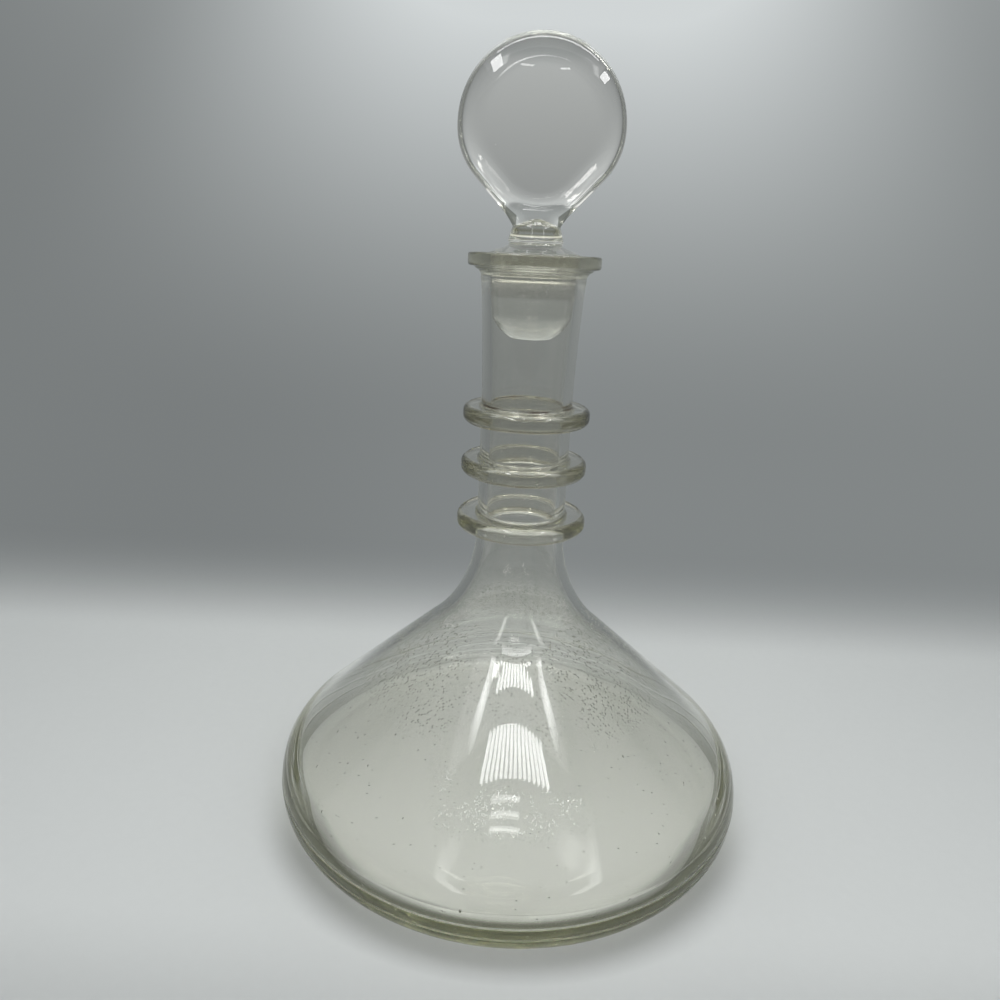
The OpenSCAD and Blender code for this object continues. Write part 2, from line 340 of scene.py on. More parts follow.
def flask_inside(sizes):
    """Inner outline from the floor's edge up to the mouth."""
    line = shoulder_line(sizes) - sizes.bell_wall
    belt = sizes.belt_radius - sizes.belt_wall
    bore = sizes.neck_radius - sizes.neck_wall
    body = bell(sizes, line, belt, sizes.sweep_radius + sizes.bell_wall, bore)
    heel = quarter_ellipse((belt - sizes.inner_heel_run, sizes.floor_thickness), body[0])
    bore_high = (bore, sizes.straight_top)
    mouth = (sizes.socket_radius, sizes.mouth_height - sizes.mouth_bevel)
    rim = (sizes.socket_radius + sizes.mouth_bevel, sizes.mouth_height)
    return strung(heel, body[1:], 8, bore_high, throat(bore_high, socket_end(sizes)), 6, mouth, rim)


def flask_outline(sizes):
    """Whole outline of the flask's glass, from the axis under the base round to the axis on the floor."""
    foot = sizes.belt_radius - sizes.heel_run
    hollow = foot - sizes.standing_width
    sphere = (hollow**2 + sizes.push_up**2) / (2 * sizes.push_up)
    spread = asin(hollow / sphere)
    under = arc((0, sizes.push_up - sphere), sphere, pi / 2, pi / 2 - spread, 20)
    inside = flask_inside(sizes)
    centre = (0.0, sizes.floor_thickness + sizes.push_up)
    standing = stretch(under[-1], (foot, 0), 6)
    floor = stretch(inside[0], centre, 10)
    return under + standing + flask_outside(sizes) + inside[::-1] + floor + [centre]


# Mesh helpers

# Radius below which a point lies on the axis
ON_AXIS = 1e-7


def add_object(name, data):
    """New object in the scene."""
    made = bpy.data.objects.new(name, data)
    bpy.context.collection.objects.link(made)
    return made


def add_piece(mesh, body):
    """Puts a mesh into the scene as a piece that rides on a body."""
    piece = add_object(mesh.name, mesh)
    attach(piece, body)
    return piece


def smooth(mesh, crease=35):
    """Smooth shading that keeps edges sharper than the crease angle, in degrees."""
    mesh.shade_smooth()
    mesh.set_sharp_from_angle(angle=radians(crease))


def skin(name, points, rings, cap=()):
    """Mesh of the faces between each ring of points and the next, after a cap if there is one."""
    faces = [cap] if cap else []
    for low, high in zip(rings, rings[1:]):
        for j in range(max(len(low), len(high))):
            k = j + 1
            corners = [low[j % len(low)], low[k % len(low)], high[k % len(high)], high[j % len(high)]]
            faces.append(list(dict.fromkeys(corners)))
    mesh = bpy.data.meshes.new(name)
    mesh.from_pydata(points, [], faces)
    mesh.validate()
    return mesh


def lathe(name, outline, turns=224, waver=None, closed=False):
    """Turned mesh from (radius, height) points, from axis to axis or closed on itself."""
    points, rings = [], []
    for radius, height in outline:
        first = len(points)
        for j in range(turns if radius > ON_AXIS else 1):
            angle = 2 * pi * j / turns
            r = radius + (waver(radius, height, angle) if waver else 0)
            points.append((r * cos(angle), r * sin(angle), height))
        rings.append(range(first, len(points)))
    return skin(name, points, rings + rings[:1] if closed else rings)


# Materials

# Shade of clear glass for lamplight
SHADE = (0.97, 0.97, 0.965)
# Ground glass: height over which it fades in and scale of its grain
GROUND_FADE = 0.6 * MM
GRAIN_SCALE = 900


class Shader:
    """Small helper that lays out a material's nodes."""

    def __init__(self, material):
        material.use_nodes = True
        self.tree = material.node_tree
        self.tree.nodes.clear()
        self.vector = None

    def node(self, kind, inputs=None, **settings):
        made = self.tree.nodes.new(kind)
        for key, value in settings.items():
            setattr(made, key, value)
        for key, value in (inputs or {}).items():
            self.feed(made.inputs[key], value)
        return made

    def feed(self, socket, value):
        if isinstance(value, bpy.types.NodeSocket):
            self.tree.links.new(value, socket)
        elif socket.type == "RGBA":
            socket.default_value = (*value, 1)
        else:
            socket.default_value = value

    def math(self, operation, a, b=0.0, clamp=False):
        return self.node("ShaderNodeMath", {0: a, 1: b}, operation=operation, use_clamp=clamp).outputs[0]

    def chain(self, operation, *values):
        """Values joined by one operation, from the first to the last."""
        result = values[0]
        for value in values[1:]:
            result = self.math(operation, result, value)
        return result

    times = partialmethod(chain, "MULTIPLY")
    most = partialmethod(chain, "MAXIMUM")
    plus = partialmethod(chain, "ADD")

    def minus(self, a, b):
        return self.math("SUBTRACT", a, b)

    def off(self, value, middle=0.0):
        """Distance of a value from a middle."""
        return self.math("ABSOLUTE", self.minus(value, middle))

    def band(self, value, start, full, fall, end):
        """One from full to fall, fading to nothing at start and end."""
        return self.times(self.fade(value, start, full), self.fade(value, end, fall))

    def fade(self, value, low, high, to_low=0.0, to_high=1.0):
        """Smooth change from to_low to to_high as value goes from low to high."""
        inputs = {"Value": value, "From Min": low, "From Max": high, "To Min": to_low, "To Max": to_high}
        return self.node("ShaderNodeMapRange", inputs, interpolation_type="SMOOTHSTEP").outputs[0]

    def noise(self, scale, detail=3.0, roughness=0.5, vector=None):
        """Noise over the object's position, or over another vector."""
        inputs = {"Vector": vector or self.vector, "Scale": scale, "Detail": detail, "Roughness": roughness}
        return self.node("ShaderNodeTexNoise", inputs).outputs["Fac"]

    def specks(self, scale, size, density):
        """Small round specks in a share of the cells of a fixed scale."""
        cells = self.node("ShaderNodeTexVoronoi", {"Vector": self.vector, "Scale": scale})
        tone = self.node("ShaderNodeSeparateColor", {"Color": cells.outputs["Color"]})
        held = self.math("LESS_THAN", tone.outputs["Red"], density)
        dot = self.fade(cells.outputs["Distance"], size, size * 0.4)
        return self.times(held, dot)

    def blend(self, factor, a, b):
        inputs = {"Factor": factor, "A": a, "B": b}
        return self.node("ShaderNodeMix", inputs, data_type="RGBA").outputs["Result"]

    def either(self, factor, a, b):
        """Surface a, or b where the factor is one."""
        return self.node("ShaderNodeMixShader", {0: factor, 1: a.outputs[0], 2: b.outputs[0]})

    def tools(self):
        """The helpers that the materials use most."""
        return self.fade, self.times, self.blend, self.noise, self.most, self.plus

    def place(self):
        """Parts of the object's position and its distance from the neck's axis."""
        self.vector = self.node("ShaderNodeTexCoord").outputs["Object"]
        parts = self.node("ShaderNodeSeparateXYZ", {"Vector": self.vector})
        x, y, z = (parts.outputs[i] for i in range(3))
        square = self.plus(self.times(x, x), self.times(y, y))
        return x, y, z, self.math("SQRT", square)


def ground_from(shader, z, start, waver):
    """One above the ragged lower end of a ground zone."""
    ragged = shader.times(shader.noise(90, 2), waver)
    return shader.fade(shader.minus(z, ragged), start - GROUND_FADE, start)


def ground_grain(shader):
    """Roughness of the ground glass, from its fine grain."""
    return shader.fade(shader.noise(GRAIN_SCALE, 2), 0.3, 0.7, 0.12, 0.22)


def finish_glass(shader, look, tint, base, roughness, height, relief, shade=SHADE, film_and_highlight=0.0):
    """Clear glass tinted in its depth, with its surface colour, roughness, relief and a dull white share:
    residue on the flask, a painted highlight on the stopper.
    """
    bump = shader.node("ShaderNodeBump", {"Height": height, "Strength": 1.0, "Distance": relief})
    skin_deep = {"Base Color": base, "Roughness": roughness, "Normal": bump.outputs["Normal"]}
    glass = shader.node("ShaderNodeBsdfPrincipled", skin_deep)
    shader.feed(glass.inputs["Transmission Weight"], shader.minus(1.0, film_and_highlight) if film_and_highlight else 1.0)
    glass.inputs["IOR"].default_value = look.refraction
    path = shader.node("ShaderNodeLightPath")
    clear = shader.node("ShaderNodeBsdfTransparent", {"Color": shade})
    surface = shader.either(path.outputs["Is Shadow Ray"], glass, clear)
    depth = shader.node("ShaderNodeVolumeAbsorption")
    depth.inputs["Color"].default_value = (*tint, 1)
    depth.inputs["Density"].default_value = look.density
    shader.node("ShaderNodeOutputMaterial", {"Surface": surface.outputs[0], "Volume": depth.outputs[0]})


def flask_glass(sizes, look):
    """Blown glass with a ground socket, a waver in its walls and dried residue inside the shoulder."""
    material = bpy.data.materials.new("flask_glass")
    shader = Shader(material)
    fade, times, blend, noise, most, plus = shader.tools()
    x, y, z, radius = shader.place()
    lean = sizes.shoulder_lean
    line = plus(times(radius, cos(lean)), times(z, sin(lean)))
    within = shader.math("LESS_THAN", line, shoulder_line(sizes) - sizes.bell_wall / 2)
    lip_base = sizes.mouth_height - sizes.lip_thickness

    # Ground socket
    in_bore = shader.math("LESS_THAN", radius, sizes.socket_radius + 0.2 * MM)
    ground = times(in_bore, ground_from(shader, z, socket_end(sizes)[1], 0.8 * MM))

    # Dried droplets inside the shoulder, stray specks all over the inside and flecks on the front
    shoulder_band = shader.band(z, 46 * MM, 58 * MM, 74 * MM, 88 * MM)
    patchy = fade(noise(38, 4, 0.65), 0.33, 0.56)
    residue = times(shoulder_band, patchy, shader.specks(900, 0.42, 0.6))
    stray = times(shader.specks(330, 0.16, 0.22), 0.7)
    specks = times(most(residue, stray), within)
    in_front = times(
        fade(y, -45 * MM, -55 * MM),
        shader.band(z, 33 * MM, 37 * MM, 46 * MM, 52 * MM),
        fade(shader.off(x), 32 * MM, 22 * MM),
        shader.minus(1.0, within),
    )
    fine = most(shader.specks(1100, 0.42, 0.5), shader.specks(2000, 0.45, 0.5))
    flecks = times(fine, fade(noise(90, 4, 0.7), 0.46, 0.58), in_front)

    # Olive lip with scuffs
    lip = times(
        fade(z, lip_base - sizes.cove_radius, lip_base - 0.3 * sizes.cove_radius),
        shader.math("GREATER_THAN", radius, sizes.socket_radius + 0.6 * MM),
    )
    scuffs = fade(noise(260, 4, 0.65), 0.54, 0.68)

    # Heel painted dark olive with bare lines: partly the thick glass's own tint, partly painted shade,
    # reaching higher at the sides and paler behind
    lowered = shader.minus(z, fade(y, -85 * MM, -60 * MM, 0.0, 4 * MM))
    heel = times(
        shader.math("GREATER_THAN", radius, sizes.belt_radius - 3.4 * MM),
        fade(lowered, 19.5 * MM, 16.5 * MM),
        fade(y, -20 * MM, 50 * MM, 1.0, 0.45),
    )
    lines = [fade(shader.off(z, height), 0.6 * MM, 0.3 * MM) for height in HEEL_LINES]
    lines = times(plus(*lines), heel)
    heel_painted_shade = shader.math("SUBTRACT", heel, lines, clamp=True)
    over_line = fade(z, HEEL_LINES[0] - 0.5 * MM, HEEL_LINES[0] + 0.5 * MM)

    # Faint upright streaks in the wall
    turn = {"X": shader.math("DIVIDE", x, radius), "Y": shader.math("DIVIDE", y, radius), "Z": z}
    around = shader.node("ShaderNodeCombineXYZ", turn).outputs[0]
    streaks = fade(noise(5.5, 3, 0.6, around), 0.45, 0.7)
    streaks = times(streaks, fade(z, 20 * MM, 45 * MM, 0.0, 0.8))

    clear, cloudy, filmed = (0.93, 0.93, 0.915), (0.935, 0.935, 0.92), (0.925, 0.92, 0.895)
    streaky, dusty, white = (0.90, 0.905, 0.885), (0.64, 0.65, 0.62), (1.0, 1.0, 0.98)
    olive, worn = (0.65, 0.64, 0.545), (0.76, 0.755, 0.69)
    heel_olive_shade, heel_dark_shade = (0.25, 0.255, 0.195), (0.15, 0.153, 0.10)
    frosted, frosted_high = (0.87, 0.865, 0.84), (0.96, 0.95, 0.92)
    base = blend(fade(z, 45 * MM, 70 * MM), clear, cloudy)
    base = blend(fade(z, 85 * MM, 118 * MM), base, filmed)
    base = blend(streaks, base, streaky)
    base = blend(lip, base, blend(scuffs, olive, worn))
    # Painted shade on the heel: dark olive, darker still above its top line
    base = blend(heel_painted_shade, base, blend(over_line, heel_olive_shade, heel_dark_shade))
    base = blend(specks, base, dusty)
    above = fade(z, lip_base - 1 * MM, lip_base + 1 * MM)
    base = blend(ground, base, blend(above, frosted, frosted_high))
    base = blend(flecks, base, white)
    rough = most(
        fade(noise(24, 5, 0.6), 0.4, 0.85, 0.0, 0.05),
        times(ground, ground_grain(shader)),
        times(specks, 0.35),
        times(lip, scuffs, 0.2),
        times(lines, 0.5),
    )
    waver = noise(30, 1.5, 0.4)
    waver = times(waver, plus(0.45, times(within, 0.55)))
    height = plus(waver, times(specks, 1.4))
    shade = blend(heel, (1.0, 1.0, 0.995), (0.85, 0.85, 0.83))
    film_and_highlight = times(flecks, 0.45)
    finish_glass(shader, look, look.flask_tint, base, rough, height, 0.14 * MM, shade, film_and_highlight)
    return material


def ring_glass(sizes, look, neck, middles):
    """Straw-tinted trail of glass with tool lines round it, a browner lower edge and a few seeds."""
    material = bpy.data.materials.new("ring_glass")
    shader = Shader(material)
    fade, times, blend, noise, most, plus = shader.tools()
    _, _, z, radius = shader.place()
    around = shader.node("ShaderNodeCombineXYZ", {"X": radius, "Z": z}).outputs[0]
    seeds = shader.specks(480, 0.22, 0.12)
    pale, straw, seedy = (0.985, 0.98, 0.96), (0.85, 0.845, 0.81), (0.72, 0.72, 0.66)
    brown, seam_brown = (0.50, 0.42, 0.26), (0.26, 0.19, 0.14)
    base = blend(fade(z, middles[0] + sizes.height, middles[1] - sizes.height), pale, straw)
    base = blend(seeds, base, seedy)
    low_edges = [middle - sizes.height / 2 + 0.6 * MM for middle in middles]
    edges = [fade(shader.off(z, height), 0.8 * MM, 0.2 * MM) for height in low_edges]
    edges = times(
        plus(*edges),
        fade(radius, neck + 3 * MM, neck + 5 * MM),
        fade(noise(45, 3), 0.3, 0.6, 0.2, 0.9),
    )
    base = blend(edges, base, brown)
    seam_height = middles[-1] + sizes.height / 2 + 0.5 * sizes.fillet
    seam = times(
        fade(shader.off(z, seam_height), 0.45 * MM, 0.2 * MM),
        fade(radius, neck + 1.2 * MM, neck + 0.9 * MM),
        fade(noise(120, 3), 0.35, 0.55),
    )
    base = blend(seam, base, seam_brown)
    rough = fade(noise(70, 4), 0.45, 0.8, 0.0, 0.06)
    rough = most(rough, times(seeds, 0.35))
    height = plus(noise(80, 2, 0.5), times(noise(700, 2, vector=around), 0.06))
    finish_glass(shader, look, look.ring_tint, base, rough, height, 0.28 * MM)
    return material


def stopper_glass(flask, sizes, look):
    """Pressed glass, polished on the head and clear end and ground on the plug."""
    material = bpy.data.materials.new("stopper_glass")
    shader = Shader(material)
    fade, times, blend, noise, most, plus = shader.tools()
    x, _, z, radius = shader.place()
    mouth = flask.mouth_height
    end_radius, ground_base = socket_end(flask)
    ground = times(
        ground_from(shader, z, ground_base, 0.7 * MM),
        fade(z, mouth + 0.2 * MM, mouth - 0.2 * MM),
    )
    specks = shader.specks(260, 0.10, 0.12)

    # Turned collar, and a painted highlight: a white line along its foot
    stem_low = mouth + 9 * MM
    turned = shader.node("ShaderNodeTexWave", {"Vector": shader.vector, "Scale": 170}, bands_direction="Z")
    collar = times(
        shader.band(z, stem_low - 5.2 * MM, stem_low - 4.6 * MM, stem_low - 0.6 * MM, stem_low),
        fade(turned.outputs["Fac"], 0.2, 0.8, 0.35, 1.0),
    )
    foot = stem_low - 5.3 * MM
    foot_highlight = times(
        shader.band(z, foot - 0.1 * MM, foot, foot + 0.6 * MM, foot + 0.9 * MM),
        fade(radius, sizes.collar_radius - 0.6 * MM, sizes.collar_radius - 0.3 * MM),
    )

    # Painted shade on the sides of the stem and of the bevel round the plug's end
    lean_in = most(shader.minus(z, stem_low + 3.4 * MM), 0.0)
    edge = plus(6.9 * MM, times(lean_in, 1.3))
    beside = times(
        fade(shader.minus(shader.off(x), edge), 0.0, 0.5 * MM),
        shader.band(z, stem_low - 1 * MM, stem_low, stem_low + 6.6 * MM, stem_low + 7.6 * MM),
    )
    nose = end_radius - sizes.plug_step
    end = mouth - sizes.plug_depth
    bevel = times(
        shader.band(z, end, end + 1 * MM, end + 5 * MM, end + 7 * MM),
        fade(shader.off(x), 0.62 * nose, 0.76 * nose),
    )

    plug, head, rim = (0.93, 0.93, 0.91), (0.80, 0.787, 0.77), (0.68, 0.68, 0.665)
    frosted, frosted_high = (0.79, 0.785, 0.755), (0.90, 0.89, 0.86)
    dusty, olive, white = (0.84, 0.85, 0.82), (0.60, 0.59, 0.46), (0.97, 0.97, 0.95)
    stem_shade, bevel_shade = (0.16, 0.165, 0.135), (0.30, 0.30, 0.28)
    base = blend(fade(z, mouth + 14 * MM, mouth + 20 * MM), plug, head)
    # Painted shade: the top of the disc darker than the rest of the head
    top = STOPPER_HIGH.z - sizes.rim_run
    base = blend(fade(z, top - 2 * MM, top + 2 * MM), base, rim)
    lip_base = mouth - flask.lip_thickness
    above = fade(z, lip_base - 1 * MM, lip_base + 1 * MM)
    base = blend(ground, base, blend(above, frosted, frosted_high))
    base = blend(specks, base, dusty)
    base = blend(collar, base, olive)
    # Painted shade at the stem's sides and round the plug's bevel
    base = blend(beside, base, stem_shade)
    base = blend(bevel, base, bevel_shade)
    # Painted highlight: the white line along the collar's foot
    base = blend(foot_highlight, base, white)
    rough = most(
        fade(noise(40, 5, 0.6), 0.5, 0.85, 0.0, 0.04),
        times(ground, ground_grain(shader)),
        times(specks, 0.4),
    )
    waver = noise(45, 1, 0.4)
    # The painted highlight is also made dull white, so that it passes less light
    film_and_highlight = times(foot_highlight, 0.85)
    finish_glass(shader, look, look.stopper_tint, base, rough, waver, 0.03 * MM, film_and_highlight=film_and_highlight)
    return material


def sweep_paper(look, wall):
    """Pale sweep: a lit floor that takes the shadow, and a wall whose soft gradient is a painted glow that
    it emits.
    """
    material = bpy.data.materials.new("sweep_paper")
    shader = Shader(material)
    fade, times, blend, noise, most, plus = shader.tools()
    x, y, z, radius = shader.place()

    # Floor, with painted shade: a painted contact shadow close round the base, and painted shade that
    # darkens it towards the camera
    tooth = noise(240, 3)
    sheet = blend(tooth, look.floor_colour, [c * 0.97 for c in look.floor_colour])
    # Painted contact shadow: a dark ring round the base, in front
    painted_contact_shadow = times(shader.band(radius, 0.083, 0.088, 0.090, 0.108), fade(y, -0.01, -0.06), 0.42)
    dim = most(painted_contact_shadow, fade(y, -0.075, -0.125, 0.0, 0.20))
    paper = shader.node("ShaderNodeBsdfDiffuse", {"Color": blend(dim, sheet, (0, 0, 0))})

    # Wall with a painted glow, darker low down and on the left, and a painted bright strip high up that
    # shows in the glass alone
    across = shader.off(x, look.glow_place[0])
    up = most(shader.minus(z, 0.1), 0.0)
    climb = shader.math("POWER", shader.math("DIVIDE", up, look.glow_place[1] - 0.1), 2.0)
    half = most(plus(0.305, times(z, -0.45)), 0.1)
    narrow = fade(shader.math("DIVIDE", across, half), 1.7, 0.3, 0.0, 0.75)
    wide = fade(across, 0.42, 0.10, 0.0, 0.25)
    shine = shader.math("MULTIPLY", climb, plus(narrow, wide), clamp=True)
    dim_side = [c * 0.86 for c in look.wall_low]
    low = blend(fade(x, -0.24, 0.04), dim_side, look.wall_low)
    tone = blend(shine, low, look.wall_high)
    path = shader.node("ShaderNodeLightPath").outputs
    unseen = shader.minus(1.0, path["Is Camera Ray"])
    over_head = times(fade(z, 0.40, 0.50), fade(across, 0.34, 0.20), unseen, 2.6)
    glow = shader.node("ShaderNodeEmission", {"Color": tone, "Strength": plus(1.0, over_head)})
    seen = most(path["Is Camera Ray"], path["Is Glossy Ray"], path["Is Transmission Ray"])
    on_wall = fade(y, wall - look.sweep_bend * 1.1, wall - look.sweep_bend * 0.2)

    # Clear from behind, so that a view from there isn't blocked
    front = shader.either(times(seen, on_wall), paper, glow)
    behind = shader.node("ShaderNodeNewGeometry").outputs["Backfacing"]
    surface = shader.either(behind, front, shader.node("ShaderNodeBsdfTransparent"))
    shader.node("ShaderNodeOutputMaterial", {"Surface": surface.outputs[0]})
    return material


# Rings and stopper


def ring_mesh(name, sizes, neck, outer, middle, turn):
    """One ring: rounded outside, filleted on to the neck and sunk a little into it."""
    half = sizes.height / 2
    fillet, rounding = sizes.fillet, sizes.rounding
    quarter = pi / 2
    low_fillet = arc((neck + fillet, -half - fillet), fillet, 2 * quarter, quarter, 10)
    high_fillet = arc((neck + fillet, half + fillet), fillet, 3 * quarter, 2 * quarter, 10)
    low_edge = arc((outer - rounding, rounding - half), rounding, -quarter, 0, 14)
    high_edge = arc((outer - rounding, half - rounding), rounding, 0, quarter, 14)
    bed = neck - sizes.bite
    low, high = (bed, -half - fillet), (bed, half + fillet)
    outline = strung(low, low_fillet, 6, low_edge, 4, high_edge, 6, high_fillet, high, 8, low)[:-1]

    def waver(radius, height, angle):
        """Hand-laid unevenness, none where the ring is fused to the neck."""
        share = max(0, radius - neck) / (outer - neck)
        wave = sin(2 * angle + turn) * 0.6 + sin(5 * angle + 2 * turn) * 0.4
        return -RING_WAVER * share * (1 + wave)

    mesh = lathe(name, [(r, z + middle) for r, z in outline], turns=160, waver=waver, closed=True)
    smooth(mesh, 50)
    return mesh


def plug_shoulder(flask, sizes):
    """Radius and height of the plug's upper edge, just above the lip."""
    radius = flask.socket_radius - sizes.joint_gap + sizes.seat_rise / flask.joint_taper / 2
    return radius, flask.mouth_height + sizes.seat_rise


def stopper_heights(flask, sizes):
    """Heights of the collar's foot, the waist and the disc's centre."""
    radius, height = plug_shoulder(flask, sizes)
    lean, fillet = sizes.skirt_lean, sizes.skirt_fillet
    run = radius - sizes.collar_radius + sizes.collar_step - fillet * (1 - sin(lean))
    collar = height + run * tan(lean) + fillet * cos(lean)
    return collar, collar + sizes.collar_height, STOPPER_HIGH.z - sizes.disc_radius


def stopper_outline(flask, sizes):
    """Outline of plug, skirt, collar and low dome, from axis to axis."""
    collar, waist, _ = stopper_heights(flask, sizes)
    end_radius, ground_base = socket_end(flask)
    end_radius -= sizes.joint_gap
    foot = flask.mouth_height - sizes.plug_depth
    nose = end_radius - sizes.plug_step
    shoulder = plug_shoulder(flask, sizes)
    fillet_middle = (sizes.collar_radius - sizes.collar_step + sizes.skirt_fillet, collar)
    bevel_top = (nose, foot + sizes.plug_bevel_height)
    bowl = bulged((nose - sizes.plug_bevel, foot), bevel_top, sizes.plug_bulge)
    skirt = arc(fillet_middle, sizes.skirt_fillet, pi * 1.5 - sizes.skirt_lean, pi, 10)
    dome = (sizes.waist_radius - sizes.dome_height, waist + sizes.dome_height)
    bead = sizes.collar_bead
    foot_bead = arc((sizes.collar_radius - bead, collar + bead), bead, -pi / 2, radians(15), 8)
    waist_edge = (sizes.waist_radius, waist)
    return strung(
        (0, foot), 8, bowl, 6, (end_radius, ground_base), 16, shoulder, 8, skirt,
        foot_bead, 6, waist_edge, 6, dome, 5, (0, dome[1]),
    )


def head_form(flask, sizes):
    """Function that is negative inside the head: a rounded egg-shaped plate run into a stem."""
    _, waist, disc = stopper_heights(flask, sizes)
    rim = sizes.disc_thickness / 2
    lean, start = sizes.flank_lean, sizes.flank_start
    inner = sizes.disc_radius - sizes.flank_radius
    flank = (inner * cos(start), disc - inner * sin(start))
    toe = flank[1] - (sizes.flank_radius - sizes.toe_radius + flank[0] * cos(lean)) / sin(lean)
    flare, offset, stem_rim = sizes.waist_flare, sizes.flank_offset, sizes.stem_rim
    run = sqrt(offset * (2 * flare - offset))
    hollow = (
        sizes.waist_radius + (flare - offset) * cos(lean) + run * sin(lean),
        waist - (flare - offset) * sin(lean) + run * cos(lean),
    )
    stem_top = hollow[1] + flare * sin(lean) - 1 * MM

    def plate(x, z):
        """Distance outside the flat egg whose edge the rim goes round."""
        across = np.abs(x)
        above = cos(start) * (z - disc) + sin(start) * across > 0
        past_flank = -sin(lean) * (across - flank[0]) - cos(lean) * (z - flank[1]) > 0
        past_toe = -sin(lean) * across - cos(lean) * (z - toe) > 0
        to_disc = np.hypot(across, z - disc) - sizes.disc_radius
        to_flank = np.hypot(across - flank[0], z - flank[1]) - sizes.flank_radius
        along = cos(lean) * (across - flank[0]) - sin(lean) * (z - flank[1])
        along = along - sizes.flank_radius
        to_toe = np.hypot(across, z - toe) - sizes.toe_radius
        below = np.where(past_flank, np.where(past_toe, to_toe, along), to_flank)
        share = np.maximum(np.where(above, to_disc, below) / sizes.rim_run + 1, 0)
        return share**sizes.rim_start * rim

    def form(x, y, z):
        head = np.hypot(plate(x, z), y) - rim
        beside = np.maximum(flare + stem_rim - np.hypot(np.abs(x) - hollow[0], z - hollow[1]), 0)
        over = np.maximum(z - stem_top, 0)
        stem = np.sqrt(beside**2 + over**2 + y**2) - stem_rim
        near = np.maximum(sizes.stem_blend - np.abs(head - stem), 0)
        return np.minimum(head, stem) - near**2 / sizes.stem_blend / 4

    return form


def head_mesh(flask, sizes):
    """Closed mesh of the head, from level slices of its form."""
    collar, _, disc = stopper_heights(flask, sizes)
    form = head_form(flask, sizes)
    root = collar + sizes.collar_height / 2
    slices, columns, halvings = 72, 192, 44
    low = np.linspace(root, disc, slices)
    high = disc + sizes.disc_radius * np.sin(np.linspace(0, pi / 2, slices))
    levels = np.concatenate([low, high[1:-1]])
    turn = 2 * pi * np.arange(columns) / columns
    across, deep = np.cos(turn), 0.4 * np.sin(turn)
    across, deep = across / np.hypot(across, deep), deep / np.hypot(across, deep)
    z = np.repeat(levels[:, None], columns, 1)
    inside, outside = np.zeros_like(z), np.full_like(z, 1.5 * sizes.disc_radius)
    for _ in range(halvings):
        middle = (inside + outside) / 2
        within = form(middle * across, middle * deep, z) < 0
        inside = np.where(within, middle, inside)
        outside = np.where(within, outside, middle)
    points = np.stack([inside * across, inside * deep, z], -1).reshape(-1, 3).tolist()
    points.append((0, 0, disc + sizes.disc_radius))
    last = len(points) - 1
    rings = [range(i, i + columns) for i in range(0, last, columns)] + [[last]]
    return skin("stopper_head", points, rings, cap=tuple(range(columns - 1, -1, -1)))


# Stage


def add_camera(context, look):
    """Camera where the photo was taken from."""
    data = bpy.data.cameras.new("camera")
    data.lens = look.lens
    data.sensor_width = 36
    data.clip_start = 0.01
    camera = add_object("camera", data)
    tilt = Matrix.Rotation(pi / 2 - look.camera_pitch, 4, "X")
    roll = Matrix.Rotation(look.camera_roll, 4, "Z")
    camera.matrix_world = Matrix.Translation(look.camera_place) @ tilt @ roll
    context.scene.camera = camera


def add_sweep(look):
    """Floor that bends up into a wall behind, wide enough for every view."""
    wall, bend = look.wall_distance, look.sweep_bend
    floor = -look.floor_drop
    corner = arc((wall - bend, floor + bend), bend, -pi / 2, 0, 24)
    profile = [(-1.6, floor), (-0.6, floor), (-0.2, floor)] + corner + [(wall, 0.5), (wall, 1.4)]
    half_width = 1.6
    points = [(side * half_width, y, z) for y, z in profile for side in (-1, 1)]
    faces = [(2 * i, 2 * i + 1, 2 * i + 3, 2 * i + 2) for i in range(len(profile) - 1)]
    mesh = bpy.data.meshes.new("sweep")
    mesh.from_pydata(points, [], faces)
    mesh.shade_smooth()
    mesh.materials.append(sweep_paper(look, wall))
    sweep = add_object("sweep", mesh)


def add_surroundings(context):
    """Soft light all round, bright above and dim behind the camera."""
    world = bpy.data.worlds.new("surroundings")
    context.scene.world = world
    shader = Shader(world)
    direction = shader.node("ShaderNodeTexCoord").outputs["Generated"]
    parts = shader.node("ShaderNodeSeparateXYZ", {"Vector": direction})
    across, ahead, up = (parts.outputs[i] for i in range(3))
    behind = shader.fade(ahead, -0.85, -0.2)
    level = shader.blend(behind, (0.10, 0.10, 0.10), (0.33, 0.345, 0.345))
    light = shader.blend(shader.fade(up, 0.15, 0.8), level, (0.57, 0.59, 0.59))
    unseen = shader.minus(1.0, shader.node("ShaderNodeLightPath").outputs["Is Camera Ray"])
    rear = shader.times(unseen, shader.fade(ahead, -0.1, -0.3))
    for middle, height, drift, half, low, high, strength in SOFT_LIGHTS:
        line = shader.plus(middle, shader.times(shader.minus(up, height), drift))
        away = shader.off(across, line)
        edges = shader.band(up, low, low + 0.05, high - 0.05, high)
        soft = shader.times(rear, shader.fade(away, half, 0.3 * half), edges)
        light = shader.blend(soft, light, (strength, strength, strength))
    sky = shader.node("ShaderNodeBackground", {"Color": light, "Strength": 1.0})
    shader.node("ShaderNodeOutputWorld", {"Surface": sky.outputs[0]})


def add_lamp(name, place, size, power, aim, spread):
    """Flat lamp that shows through the glass only if its beam is wide."""
    data = bpy.data.lights.new(name, "AREA")
    data.spread = spread
    data.shape = "RECTANGLE"
    data.size, data.size_y = size
    data.energy = power
    lamp = add_object(name, data)
    lamp.location = place
    lamp.rotation_mode = "QUATERNION"
    lamp.rotation_quaternion = (Vector(aim) - Vector(place)).to_track_quat("-Z", "Y")
    lamp.visible_transmission = spread > pi / 2


# Operators


